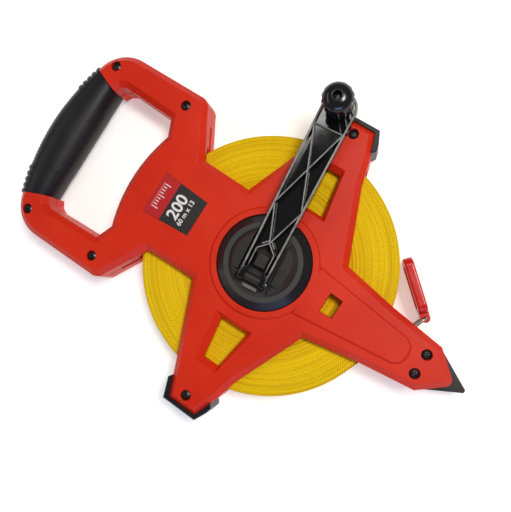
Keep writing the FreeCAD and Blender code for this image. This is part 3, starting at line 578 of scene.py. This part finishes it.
def tape_run():
    """The tape's outer end, from the roll to the loop round the ring."""
    low, high = (corner.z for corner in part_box("tape_lead"))
    line = run_line()
    rings = []
    for i, point in enumerate(line):
        ahead = (line[min(i + 1, len(line) - 1)] - line[max(i - 1, 0)]).normalized()
        side = 0.5 * TAPE_THICKNESS * Vector((ahead.y, -ahead.x))
        inner, outer = point - side, point + side
        rings.append([(*inner, low), (*outer, low), (*outer, high), (*inner, high)])
    data = tube_mesh("tape_run", rings, False)
    new_piece("tape_run", data, [TAPE_FACE], "frame", ["tape_lead"])


def rectangle(left, bottom, right, top):
    return [(left, bottom), (right, bottom), (right, top), (left, top)]


def flat_patch(name, corners, z, material):
    """A thin printed patch on the label, closed underneath."""
    mesh = bmesh.new()
    bottom = [mesh.verts.new((x, y, z)) for x, y in corners]
    top = [mesh.verts.new((x, y, z + PRINT_THICKNESS)) for x, y in corners]
    mesh.faces.new(reversed(bottom))
    mesh.faces.new(top)
    for i in range(len(corners)):
        j = (i + 1) % len(corners)
        mesh.faces.new((bottom[i], bottom[j], top[j], top[i]))
    new_piece(name, finished(mesh, name), [material], "frame")


def printed_number(name, words, size, place, material):
    """Flat lettering that reads along +Y, as seen from the front with the spike to the right."""
    curve = bpy.data.curves.new(name, "FONT")
    curve.body = words
    curve.size = size
    curve.offset = size * LETTER_WEIGHT
    curve.extrude = LETTER_THICKNESS
    curve.align_x = "CENTER"
    curve.align_y = "CENTER"
    text = bpy.data.objects.new(name, curve)
    bpy.context.scene.collection.objects.link(text)
    text.location = place
    text.rotation_euler = (0.0, 0.0, math.pi / 2)
    bpy.context.view_layer.update()
    solid_text = text.evaluated_get(bpy.context.evaluated_depsgraph_get())
    data = bpy.data.meshes.new_from_object(solid_text)
    data.transform(text.matrix_world)
    bpy.data.objects.remove(text)
    data.materials.clear()
    new_piece(name, data, [material], "frame")


def ruler(split, z):
    """A pink line with white ticks, every fourth one long."""
    x = split - RULE_TICK_START
    for i in range(RULE_TICKS):
        y = (i - 4) * RULE_TICK_PITCH
        reach = RULE_LONG_TICK if i % 4 == 0 else RULE_SHORT_TICK
        tick = rectangle(x, y - RULE_TICK_HALF_WIDTH, x + reach, y + RULE_TICK_HALF_WIDTH)
        flat_patch(f"label_tick_{i}", tick, z, INK_WHITE)
    line = rectangle(split - RULE_LEFT, -RULE_HALF_LENGTH, split - RULE_RIGHT, RULE_HALF_LENGTH)
    flat_patch("label_rule", line, z, INK_PINK)


def label_print():
    """A red strip with a ruler, and the tape's length in feet and metres beside it."""
    low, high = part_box("label")
    face = high.z
    split = low.x + STRIP_SHARE * (high.x - low.x)
    taper = LABEL_TAPER / (high.x - low.x)
    left = low.x + STRIP_MARGIN
    left_y = high.y - STRIP_MARGIN
    split_y = high.y - taper * (split - low.x) - STRIP_MARGIN
    strip = [(left, -left_y), (split, -split_y), (split, split_y), (left, left_y)]
    flat_patch("label_strip", strip, face, INK_RED)
    ruler(split, face + PRINT_THICKNESS)
    letters_z = face + LETTER_LIFT
    printed_number("label_length_ft", "200", 0.0132, (split + 0.0078, -0.0005, letters_z), INK_WHITE)
    printed_number("label_length_m", "60 m x 13", 0.0053, (split + 0.0156, -0.0010, letters_z), INK_WHITE)


# Stage


def floor():
    mesh = bpy.data.meshes.new("floor")
    corners = [(x, y, 0) for x, y in rectangle(-FLOOR_REACH, -FLOOR_REACH, FLOOR_REACH, FLOOR_REACH)]
    mesh.from_pydata(corners, [], [(0, 1, 2, 3)])
    mesh.materials.append(pale_floor("pale_floor"))
    plane = bpy.data.objects.new("floor", mesh)
    plane.location.z = CAD_BOX[0].z - FLOOR_GAP
    bpy.context.scene.collection.objects.link(plane)


def soft_light(name, place, aim, size, power, color):
    data = bpy.data.lights.new(name, "AREA")
    data.shape = "RECTANGLE"
    data.size, data.size_y = size
    data.energy = power
    data.color = color
    lamp = bpy.data.objects.new(name, data)
    bpy.context.scene.collection.objects.link(lamp)
    lamp.location = place
    lamp.rotation_euler = (Vector(aim) - Vector(place)).to_track_quat("-Z", "Y").to_euler()


def lights():
    aim = (0.0, 0.0, 0.03)
    soft_light("key", (0.34, 0.44, 1.25), aim, (0.45, 0.35), 11.9, WARM)
    soft_light("left_fill", (-1.15, -0.45, 0.95), aim, (1.4, 0.3), 2.4, WARM_FILL)
    soft_light("cool_side", (0.62, -0.76, 0.48), aim, (0.8, 0.35), 3.6, COOL)
    soft_light("crank_sheen", (-0.235, 0.375, 1.00), (-0.01, 0.12, 0.04), (0.26, 0.13), 1.0, PALE_WARM)
    world = bpy.data.worlds.new("studio")
    world.use_nodes = True
    world.node_tree.nodes["Background"].inputs["Color"].default_value = (*PALE_WARM, 1.0)
    world.node_tree.nodes["Background"].inputs["Strength"].default_value = 0.17
    bpy.context.scene.world = world
    bpy.context.scene.view_settings.view_transform = "Standard"


def camera():
    forward = (CAMERA_AIM - CAMERA_PLACE).normalized()
    right = forward.cross(CAMERA_UP).normalized()
    up = right.cross(forward)
    turn = Matrix((right, up, -forward)).transposed().to_4x4()
    data = bpy.data.cameras.new("camera")
    data.lens = CAMERA_LENS
    data.clip_start = 0.01
    seen = bpy.data.objects.new("camera", data)
    seen.matrix_world = Matrix.Translation(CAMERA_PLACE) @ turn
    bpy.context.scene.collection.objects.link(seen)
    bpy.context.scene.camera = seen


def build():
    for node, material in CAD_LOOKS.items():
        dress(node, material)
    grip_sleeve()
    wound_tape()
    tape_run()
    label_print()
    floor()
    lights()
    camera()


build()
